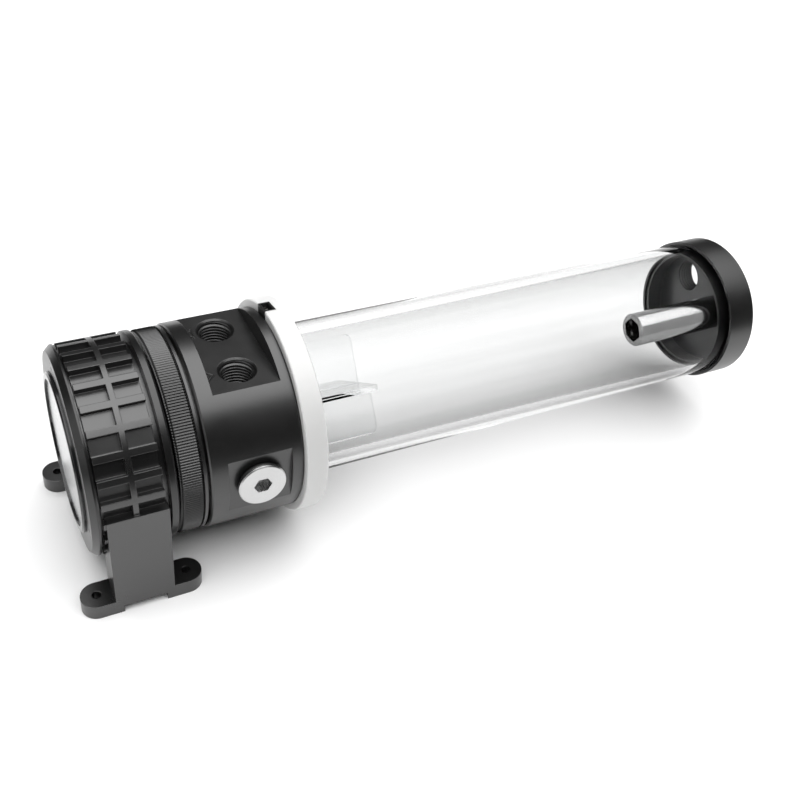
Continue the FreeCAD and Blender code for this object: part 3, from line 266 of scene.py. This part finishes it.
def useGroup(tree, group, **values):
    node = tree.nodes.new("ShaderNodeGroup")
    node.node_tree = group
    for label, value in values.items():
        node.inputs[label].default_value = value
    return node


grainDepth = 0.02 * mm
markDepth = 0.01 * mm
edgeSamples = 8
noiseSpan = (0.3, 0.7)   # most of a noise's values lie between these
metalPatches = 60.0      # patches of tone per metre, alike on all metals


# A bump over a normal that is rounded at the edges
def roundedNormal(tree, height, strength, distance, edgeRadius):
    bump = tree.nodes.new("ShaderNodeBump")
    bump.inputs["Strength"].default_value = strength
    bump.inputs["Distance"].default_value = distance
    tree.links.new(height, bump.inputs["Height"])
    if edgeRadius:
        edge = tree.nodes.new("ShaderNodeBevel")
        edge.samples = edgeSamples
        edge.inputs["Radius"].default_value = edgeRadius
        tree.links.new(edge.outputs["Normal"], bump.inputs["Normal"])
    return bump.outputs["Normal"]


def rangeOf(tree, value, low, high):
    node = tree.nodes.new("ShaderNodeMapRange")
    node.inputs["From Min"].default_value, node.inputs["From Max"].default_value = noiseSpan
    node.inputs["To Min"].default_value = low
    node.inputs["To Max"].default_value = high
    tree.links.new(value, node.inputs["Value"])
    return node.outputs["Result"]


def mixColors(tree, mask, first, second):
    node = tree.nodes.new("ShaderNodeMix")
    node.data_type = "RGBA"
    node.inputs["A"].default_value = (*first, 1.0)
    node.inputs["B"].default_value = (*second, 1.0)
    tree.links.new(mask, node.inputs["Factor"])
    return node.outputs["Result"]


def multiplyColors(tree, first, second):
    node = tree.nodes.new("ShaderNodeMix")
    node.data_type = "RGBA"
    node.blend_type = "MULTIPLY"
    node.inputs["Factor"].default_value = 1.0
    tree.links.new(first, node.inputs["A"])
    tree.links.new(second, node.inputs["B"])
    return node.outputs["Result"]


# Moulded or machined black plastic with a soft grain
def blackPlastic(name, look):
    material, tree, shader = startMaterial(name)
    grain = useGroup(tree, grainGroup, GrainPerMetre=look["grain"], PatchPerMetre=look["patch"])
    patch = rangeOf(tree, grain.outputs["Patch"], 0.0, 1.0)
    tree.links.new(mixColors(tree, patch, look["dark"], look["light"]), shader.inputs["Base Color"])
    rough = rangeOf(tree, grain.outputs["Patch"], *look["rough"])
    tree.links.new(rough, shader.inputs["Roughness"])
    shader.inputs["Specular IOR Level"].default_value = look["specular"]
    normal = roundedNormal(tree, grain.outputs["Height"], look["bump"], grainDepth, look["edge"])
    tree.links.new(normal, shader.inputs["Normal"])
    return material


# Turned metal with tool marks about an axis
def metal(name, look):
    material, tree, shader = startMaterial(name)
    marks = useGroup(tree, turnedGroup, Centre=look["centre"], Across=look["across"],
                     MarksPerMetre=look["marks"])
    grain = useGroup(tree, grainGroup, PatchPerMetre=metalPatches)
    tone = mixColors(tree, grain.outputs["Patch"], look["dark"], look["light"])
    tree.links.new(tone, shader.inputs["Base Color"])
    tree.links.new(rangeOf(tree, marks.outputs["Height"], *look["rough"]), shader.inputs["Roughness"])
    shader.inputs["Metallic"].default_value = look["metallic"]
    normal = roundedNormal(tree, marks.outputs["Height"], look["bump"], markDepth, look["edge"])
    tree.links.new(normal, shader.inputs["Normal"])
    return material


# The axes that the metal pieces were turned about
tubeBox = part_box("reservoir_tube")
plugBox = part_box("side_plug")
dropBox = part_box("drop_tube")
axisHeight = (tubeBox[0].z + tubeBox[1].z) / 2
plugCentre = ((plugBox[0].x + plugBox[1].x) / 2, 0.0, axisHeight)
dropCentre = (0.0, (dropBox[0].y + dropBox[1].y) / 2, (dropBox[0].z + dropBox[1].z) / 2)
motorCentre = (0.0, 0.0, axisHeight)
alongPart = (0.0, 1.0, 1.0)    # marks run round an axis along X
acrossPart = (1.0, 0.0, 1.0)   # marks run round an axis along Y
inLayers = (1.0, 0.0, 0.0)     # marks follow one another along X

blackLooks = {
    "black_moulding": {"dark": (0.005, 0.005, 0.005), "light": (0.008, 0.008, 0.008), "rough": (0.26, 0.34),
                       "grain": 2600.0, "patch": 40.0, "bump": 0.2, "specular": 1.00, "edge": 0.35 * mm},
    "black_flange": {"dark": (0.004, 0.004, 0.004), "light": (0.006, 0.006, 0.006), "rough": (0.26, 0.34),
                     "grain": 3200.0, "patch": 40.0, "bump": 0.15, "specular": 0.60, "edge": 0.25 * mm},
    "motor_plastic": {"dark": (0.010, 0.010, 0.011), "light": (0.016, 0.016, 0.017), "rough": (0.12, 0.20),
                      "grain": 2000.0, "patch": 30.0, "bump": 0.05, "specular": 0.6, "edge": 0.3 * mm},
    "body_plastic": {"dark": (0.004, 0.004, 0.004), "light": (0.006, 0.006, 0.006), "rough": (0.28, 0.36),
                     "grain": 4200.0, "patch": 45.0, "bump": 0.15, "specular": 0.85, "edge": 0.25 * mm},
    "cap_metal": {"dark": (0.004, 0.004, 0.004), "light": (0.006, 0.006, 0.006), "rough": (0.28, 0.36),
                  "grain": 5200.0, "patch": 50.0, "bump": 0.15, "specular": 0.85, "edge": 0.25 * mm},
    "ring_metal": {"dark": (0.004, 0.004, 0.004), "light": (0.007, 0.007, 0.007), "rough": (0.26, 0.34),
                   "grain": 4000.0, "patch": 60.0, "bump": 0.15, "specular": 0.90, "edge": 0.0},
    "seal_rubber": {"dark": (0.008, 0.008, 0.008), "light": (0.014, 0.014, 0.014), "rough": (0.55, 0.7),
                    "grain": 5000.0, "patch": 80.0, "bump": 0.3, "specular": 0.4, "edge": 0.0},
    "connector_plastic": {"dark": (0.010, 0.010, 0.010), "light": (0.016, 0.016, 0.016),
                          "rough": (0.25, 0.35), "grain": 5000.0, "patch": 80.0, "bump": 0.1,
                          "specular": 0.5, "edge": 0.1 * mm},
    "circuit_board": {"dark": (0.010, 0.06, 0.035), "light": (0.016, 0.09, 0.05), "rough": (0.3, 0.45),
                      "grain": 3000.0, "patch": 400.0, "bump": 0.3, "specular": 0.5, "edge": 0.1 * mm},
    "impeller_plastic": {"dark": (0.03, 0.03, 0.033), "light": (0.045, 0.045, 0.048), "rough": (0.35, 0.5),
                         "grain": 3000.0, "patch": 60.0, "bump": 0.3, "specular": 0.5, "edge": 0.2 * mm},
    "magnet": {"dark": (0.05, 0.05, 0.052), "light": (0.09, 0.09, 0.092), "rough": (0.4, 0.55),
               "grain": 6000.0, "patch": 90.0, "bump": 0.5, "specular": 0.5, "edge": 0.2 * mm},
}

metalLooks = {
    "plug_metal": {"dark": (0.45, 0.45, 0.45), "light": (0.54, 0.54, 0.54), "rough": (0.22, 0.32),
                   "metallic": 1.0, "centre": plugCentre, "across": acrossPart, "marks": 7000.0,
                   "bump": 0.35, "edge": 0.15 * mm},
    "polished_tube": {"dark": (0.27, 0.27, 0.27), "light": (0.34, 0.34, 0.34), "rough": (0.12, 0.18),
                      "metallic": 1.0, "centre": dropCentre, "across": alongPart, "marks": 5000.0,
                      "bump": 0.15, "edge": 0.15 * mm},
    "dark_steel": {"dark": (0.10, 0.10, 0.10), "light": (0.2, 0.2, 0.2), "rough": (0.25, 0.4),
                   "metallic": 1.0, "centre": motorCentre, "across": alongPart, "marks": 6000.0,
                   "bump": 0.2, "edge": 0.1 * mm},
    "bearing_steel": {"dark": (0.5, 0.5, 0.52), "light": (0.66, 0.66, 0.68), "rough": (0.1, 0.2),
                      "metallic": 1.0, "centre": motorCentre, "across": alongPart, "marks": 6000.0,
                      "bump": 0.1, "edge": 0.1 * mm},
    "lamination": {"dark": (0.22, 0.22, 0.23), "light": (0.34, 0.34, 0.35), "rough": (0.4, 0.55),
                   "metallic": 0.9, "centre": motorCentre, "across": inLayers, "marks": 2000.0,
                   "bump": 0.8, "edge": 0.1 * mm},
    "copper_wire": {"dark": (0.42, 0.16, 0.07), "light": (0.62, 0.26, 0.12), "rough": (0.25, 0.4),
                    "metallic": 0.9, "centre": motorCentre, "across": alongPart, "marks": 1600.0,
                    "bump": 1.0, "edge": 0.3 * mm},
    "pin_metal": {"dark": (0.7, 0.68, 0.62), "light": (0.85, 0.83, 0.78), "rough": (0.2, 0.3),
                  "metallic": 1.0, "centre": motorCentre, "across": alongPart, "marks": 6000.0,
                  "bump": 0.1, "edge": 0.05 * mm},
}

# Smooth glossy face of the end disc
discLook = {"dark": (0.46, 0.465, 0.47), "light": (0.54, 0.545, 0.55), "patch": 25.0, "rough": 0.22,
            "metallic": 0.85, "bump": 0.03, "edge": 0.15 * mm}


def discFace(name, look):
    material, tree, shader = startMaterial(name)
    grain = useGroup(tree, grainGroup, PatchPerMetre=look["patch"])
    tone = mixColors(tree, grain.outputs["Patch"], look["dark"], look["light"])
    tree.links.new(tone, shader.inputs["Base Color"])
    shader.inputs["Roughness"].default_value = look["rough"]
    shader.inputs["Metallic"].default_value = look["metallic"]
    normal = roundedNormal(tree, grain.outputs["Height"], look["bump"], markDepth, look["edge"])
    tree.links.new(normal, shader.inputs["Normal"])
    return material


# Frosted off-white plastic that lets light through
diffuserLook = {"dark": (0.64, 0.64, 0.635), "light": (0.70, 0.70, 0.695), "grain": 3000.0, "patch": 30.0,
                "rough": (0.38, 0.5), "glow": 0.6, "glowDepth": 2.5 * mm, "bump": 0.1, "edge": 0.3 * mm}


def diffuser(name, look):
    material, tree, shader = startMaterial(name)
    grain = useGroup(tree, grainGroup, GrainPerMetre=look["grain"], PatchPerMetre=look["patch"])
    tone = mixColors(tree, grain.outputs["Patch"], look["dark"], look["light"])
    tree.links.new(tone, shader.inputs["Base Color"])
    tree.links.new(rangeOf(tree, grain.outputs["Patch"], *look["rough"]), shader.inputs["Roughness"])
    shader.inputs["Subsurface Weight"].default_value = look["glow"]
    shader.inputs["Subsurface Radius"].default_value = (1.0, 1.0, 1.0)
    shader.inputs["Subsurface Scale"].default_value = look["glowDepth"]
    normal = roundedNormal(tree, grain.outputs["Height"], look["bump"], grainDepth, look["edge"])
    tree.links.new(normal, shader.inputs["Normal"])
    return material


# Yellowish face of the light chips
chipLook = {"dark": (0.80, 0.72, 0.35), "light": (0.90, 0.86, 0.6), "grain": 4000.0, "patch": 500.0,
            "rough": 0.25, "bump": 0.1, "edge": 0.1 * mm}


def lightChip(name, look):
    material, tree, shader = startMaterial(name)
    grain = useGroup(tree, grainGroup, GrainPerMetre=look["grain"], PatchPerMetre=look["patch"])
    tone = mixColors(tree, grain.outputs["Patch"], look["dark"], look["light"])
    tree.links.new(tone, shader.inputs["Base Color"])
    shader.inputs["Roughness"].default_value = look["rough"]
    normal = roundedNormal(tree, grain.outputs["Height"], look["bump"], grainDepth, look["edge"])
    tree.links.new(normal, shader.inputs["Normal"])
    return material


# Clear solid: streaked, darker where it is seen at a slant, and with a shadow that lets most light through
def clearMaterial(name, look):
    material, tree, shader = startMaterial(name)
    grain = useGroup(tree, grainGroup, GrainPerMetre=look["grain"])
    streak = useGroup(tree, streakGroup)
    slant = tree.nodes.new("ShaderNodeLayerWeight")
    slant.inputs["Blend"].default_value = look["slant"]
    tone = mixColors(tree, rangeOf(tree, streak.outputs["Streak"], 0.0, 1.0), look["dark"], look["light"])
    rim = mixColors(tree, slant.outputs["Facing"], (1.0, 1.0, 1.0), look["rim"])
    tree.links.new(multiplyColors(tree, tone, rim), shader.inputs["Base Color"])
    shader.inputs["Roughness"].default_value = look["rough"]
    shader.inputs["Transmission Weight"].default_value = 1.0
    shader.inputs["Metallic"].default_value = 0.0
    shader.inputs["IOR"].default_value = look["ior"]
    normal = roundedNormal(tree, grain.outputs["Height"], look["bump"], markDepth, 0.0)
    tree.links.new(normal, shader.inputs["Normal"])
    path = tree.nodes.new("ShaderNodeLightPath")
    clear = tree.nodes.new("ShaderNodeBsdfTransparent")
    shade = mixColors(tree, slant.outputs["Facing"], look["shadow"], look["shadowEdge"])
    tree.links.new(shade, clear.inputs["Color"])
    mix = tree.nodes.new("ShaderNodeMixShader")
    unseen = largerOf(tree, path.outputs["Is Shadow Ray"], path.outputs["Is Diffuse Ray"])
    tree.links.new(unseen, mix.inputs["Fac"])
    tree.links.new(shader.outputs["BSDF"], mix.inputs[1])
    tree.links.new(clear.outputs["BSDF"], mix.inputs[2])
    tree.links.new(mix.outputs["Shader"], tree.nodes["Material Output"].inputs["Surface"])
    return material


clearLooks = {
    "clear_tube": {"dark": (0.84, 0.843, 0.843), "light": (0.93, 0.933, 0.933), "rim": (0.62, 0.62, 0.62),
                   "rough": 0.01, "ior": 1.10, "grain": 500.0, "bump": 0.0, "slant": 0.35,
                   "shadow": (0.96, 0.96, 0.96), "shadowEdge": (0.30, 0.30, 0.30)},
    "clear_plate": {"dark": (0.93, 0.935, 0.935), "light": (0.97, 0.972, 0.972), "rim": (0.70, 0.70, 0.70),
                    "rough": 0.02, "ior": 1.03, "grain": 500.0, "bump": 0.02, "slant": 0.35,
                    "shadow": (0.95, 0.95, 0.95), "shadowEdge": (0.6, 0.6, 0.6)},
}

materials = {}
for slotName, look in blackLooks.items():
    materials[slotName] = blackPlastic(slotName, look)
for slotName, look in metalLooks.items():
    materials[slotName] = metal(slotName, look)
for slotName, look in clearLooks.items():
    materials[slotName] = clearMaterial(slotName, look)
materials["disc_face"] = discFace("disc_face", discLook)
materials["diffuser"] = diffuser("diffuser", diffuserLook)
materials["light_chip"] = lightChip("light_chip", chipLook)
print("materials ready:", len(materials))

# Every CAD node gets the material of its slot
slotOfNode = {part["node"]: part["material_slot"] for part in frame["record"]["subparts"]}
for nodeName, node in nodes.items():
    node.data.materials.clear()
    node.data.materials.append(materials[slotOfNode[nodeName]])


# Mesh helpers
def addMesh(name, points, faces, slotName, body, smooth=True):
    mesh = bpy.data.meshes.new(name)
    mesh.from_pydata(points, [], faces)
    shape = bmesh.new()
    shape.from_mesh(mesh)
    bmesh.ops.recalc_face_normals(shape, faces=shape.faces)
    shape.to_mesh(mesh)
    shape.free()
    mesh.polygons.foreach_set("use_smooth", [smooth] * len(mesh.polygons))
    mesh.materials.append(materials[slotName])
    piece = bpy.data.objects.new(name, mesh)
    scene.collection.objects.link(piece)
    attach(piece, body)
    return piece


# Rounds each corner of a closed outline of (station, radius) points
def filleted(profile, radius, steps=3, mostOfSide=0.45):
    result = []
    count = len(profile)
    for index, corner in enumerate(profile):
        corner = Vector(corner)
        before = Vector(profile[index - 1]) - corner
        after = Vector(profile[(index + 1) % count]) - corner
        cut = min(radius, before.length * mostOfSide, after.length * mostOfSide)
        first = corner + before.normalized() * cut
        last = corner + after.normalized() * cut
        for step in range(steps + 1):
            share = step / steps
            point = first * (1 - share) ** 2 + corner * 2 * share * (1 - share) + last * share ** 2
            result.append((point.x, point.y))
    return result


# Turns a closed outline about the motor's axis; radiusAt may change a radius by its angle
def lathe(name, profile, slotName, body, around, radiusAt=None):
    points = []
    faces = []
    count = len(profile)
    for turn in range(around):
        angle = 2 * math.pi * turn / around
        for station, radius in profile:
            if radiusAt:
                radius = radiusAt(radius, turn)
            points.append((station, radius * math.sin(angle), axisHeight + radius * math.cos(angle)))
        here = turn * count
        there = (turn + 1) % around * count
        for index in range(count):
            after = (index + 1) % count
            faces.append((here + index, here + after, there + after, there + index))
    return addMesh(name, points, faces, slotName, body)


# Reservoir tube, with slightly rounded edges at both ends
tubeLook = {"wall": 5.0 * mm, "edge": 0.4 * mm, "around": 360}


def makeTube(look):
    low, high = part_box("reservoir_tube")
    outer = (high.z - low.z) / 2
    inner = outer - look["wall"]
    profile = filleted([(low.x, inner), (high.x, inner), (high.x, outer), (low.x, outer)], look["edge"])
    tube = lathe("clearTube", profile, "clear_tube", "base", look["around"])
    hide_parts("reservoir_tube")


makeTube(tubeLook)
print("tube ready")

# Retaining ring, with straight ridges between its two bevels
ringLook = {"ridges": 235, "stepsPerRidge": 4, "depth": 0.55 * mm, "bevel": 0.6 * mm, "edge": 0.12 * mm,
            "lipBore": 31.3 * mm, "bore": 36.08 * mm, "lip": 2.0 * mm, "ridgedBand": 1.2}


def makeRing(look):
    low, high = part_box("retaining_ring")
    outer = (high.z - low.z) / 2
    bevel = look["bevel"]
    profile = filleted([
        (low.x, look["lipBore"]),
        (low.x, outer - bevel),
        (low.x + bevel, outer),
        (high.x - bevel, outer),
        (high.x, outer - bevel),
        (high.x, look["bore"]),
        (low.x + look["lip"], look["bore"]),
        (low.x + look["lip"], look["lipBore"])][::-1], look["edge"])
    count = look["ridges"] * look["stepsPerRidge"]
    ridgedFrom = outer - look["depth"] * look["ridgedBand"]   # only points outside this radius are cut

    def ridged(radius, turn):
        cut = look["depth"] * (0.5 - 0.5 * math.cos(2 * math.pi * turn / look["stepsPerRidge"]))
        return radius - cut if radius > ridgedFrom else radius

    ring = lathe("knurledRing", profile, "ring_metal", "ring", count, ridged)
    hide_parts("retaining_ring")


makeRing(ringLook)

# Front clamp ring, with a straight bevel towards its face and a seat round each screw's head
flangeLook = {"bevel": (2.2 * mm, 2.0 * mm), "edge": 0.12 * mm, "bore": 30.1 * mm, "around": 320,
              "screws": 3, "firstAngle": 76.0, "circle": 33.4 * mm,
              "seat": 2.05 * mm, "seatDepth": 1.6 * mm, "seatSides": 48}


def cutSeats(piece, look, start):
    shape = bmesh.new()
    for index in range(look["screws"]):
        angle = math.radians(look["firstAngle"] + 360 * index / look["screws"])
        place = (start, look["circle"] * math.cos(angle), axisHeight + look["circle"] * math.sin(angle))
        stand = Matrix.Translation(place) @ Matrix.Rotation(math.pi / 2, 4, "Y")
        bmesh.ops.create_cone(shape, cap_ends=True, segments=look["seatSides"], radius1=look["seat"],
                              radius2=look["seat"], depth=2 * look["seatDepth"], matrix=stand)
    mesh = bpy.data.meshes.new("seatCutter")
    shape.to_mesh(mesh)
    shape.free()
    cutter = bpy.data.objects.new("seatCutter", mesh)
    scene.collection.objects.link(cutter)
    cut = piece.modifiers.new("seats", "BOOLEAN")
    cut.operation = "DIFFERENCE"
    cut.solver = "EXACT"
    cut.object = cutter
    bpy.context.view_layer.update()
    cutMesh = bpy.data.meshes.new_from_object(piece.evaluated_get(bpy.context.evaluated_depsgraph_get()))
    piece.modifiers.clear()
    piece.data = cutMesh
    bpy.data.objects.remove(cutter)


def makeFlange(look):
    low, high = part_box("front_flange")
    outer = (high.z - low.z) / 2
    along, inward = look["bevel"]
    profile = filleted([
        (low.x, look["bore"]),
        (high.x, look["bore"]),
        (high.x, outer),
        (low.x + along, outer),
        (low.x, outer - inward)], look["edge"])
    flange = lathe("clampRing", profile, "black_flange", "base", look["around"])
    cutSeats(flange, look, low.x)
    crisp = flange.modifiers.new("crisp", "WEIGHTED_NORMAL")
    crisp.mode = "FACE_AREA"
    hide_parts("front_flange")


makeFlange(flangeLook)
print("rings ready")

# Threads in the ports: an open sleeve with a helical ridge; steepness and rootCut keep the ridge's
# crest and the groove's floor flat
threadLook = {"pitch": 1.337 * mm, "major": 6.56 * mm, "minor": 5.62 * mm, "around": 72, "stepsPerTurn": 8,
              "steepness": 1.3, "rootCut": 0.15}


# Sleeve from the mouth inward; the ridges run out at both ends
def makeThread(name, mouth, outward, length, body, slotName, look):
    outward = Vector(outward)
    side = outward.orthogonal().normalized()
    other = outward.cross(side)
    around = look["around"]
    rows = int(length / look["pitch"] * look["stepsPerTurn"])
    points = []
    faces = []
    depth = look["major"] - look["minor"]
    for row in range(rows + 1):
        along = length * row / rows
        ends = min(1.0, along / look["pitch"], (length - along) / look["pitch"])
        for turn in range(around):
            angle = 2 * math.pi * turn / around
            phase = (along / look["pitch"] + turn / around) % 1.0
            ridge = 1.0 - abs(2.0 * phase - 1.0)
            ridge = min(1.0, max(0.0, ridge * look["steepness"] - look["rootCut"]))
            radius = look["major"] - depth * ridge * ends
            spoke = side * math.cos(angle) + other * math.sin(angle)
            points.append(Vector(mouth) - outward * along + spoke * radius)
    for row in range(rows):
        start = row * around
        for turn in range(around):
            after = (turn + 1) % around
            faces.append((start + turn, start + around + turn, start + around + after, start + after))
    return addMesh(name, points, faces, slotName, body)


# The two ports on the body's flat
portLook = {"halfSpacing": 12.6 * mm, "flatHeight": 31.7 * mm, "station": 45.1 * mm, "length": 12.0 * mm,
            "mouthBevel": 0.6 * mm}


def makePortThreads(look):
    height = axisHeight + look["flatHeight"] - look["mouthBevel"]
    for name, side in (("outletThread", -1), ("returnThread", 1)):
        mouth = (look["station"], look["halfSpacing"] * side, height)
        makeThread(name, mouth, (0, 0, 1), look["length"], "base", "body_plastic", threadLook)


makePortThreads(portLook)

# The two ports in the cap, one open and one with the drop tube behind it
capLook = {"circle": 14.3 * mm, "openAngle": 51.0, "dropAngle": 153.0, "wall": 8.0 * mm, "dropFree": 3.3 * mm,
           "mouthBevel": 0.6 * mm}


def makeCapThreads(look):
    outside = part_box("end_cap")[1].x - look["mouthBevel"]
    lengths = (("openThread", look["openAngle"], look["wall"] - look["mouthBevel"]),
               ("dropThread", look["dropAngle"], look["dropFree"]))
    for name, angle, length in lengths:
        turn = math.radians(angle)
        mouth = (outside, look["circle"] * math.cos(turn), axisHeight + look["circle"] * math.sin(turn))
        makeThread(name, mouth, (1, 0, 0), length, "cap", "cap_metal", threadLook)


makeCapThreads(capLook)
print("threads ready")

# Flow marks beside the ports: thin raised outlines of triangles
markLook = {"rise": 0.50 * mm, "line": 1.0 * mm, "sunk": 0.02 * mm,
            "marks": [
                # name, and the corners in millimetres along and across the part
                ("flowMarkOut", ((32.9, -8.9), (37.0, -12.9), (32.7, -16.7))),
                ("flowMarkIn", ((36.8, 16.4), (32.8, 13.1), (36.6, 9.5))),
            ]}


def makeMark(name, corners, look):
    corners = [Vector((x * mm, y * mm, 0)) for x, y in corners]
    middle = sum(corners, Vector()) / 3
    base = axisHeight + portLook["flatHeight"]
    crest = []
    inner = []
    for corner in corners:
        reach = (corner - middle).length
        crest.append(middle + (corner - middle) * (1 - look["line"] / reach))
        inner.append(middle + (corner - middle) * (1 - 2 * look["line"] / reach))
    points = []
    for outline, lift in ((corners, -look["sunk"]), (crest, look["rise"]), (inner, -look["sunk"])):
        points += [(corner.x, corner.y, base + lift) for corner in outline]
    faces = []
    for level in (0, 3):   # the outer slopes first, then the inner ones
        for index in range(3):
            after = (index + 1) % 3
            faces.append((level + index, level + after, level + 3 + after, level + 3 + index))
    addMesh(name, points, faces, "body_plastic", "base", smooth=False)


for markName, markCorners in markLook["marks"]:
    makeMark(markName, markCorners, markLook)
print("marks ready")
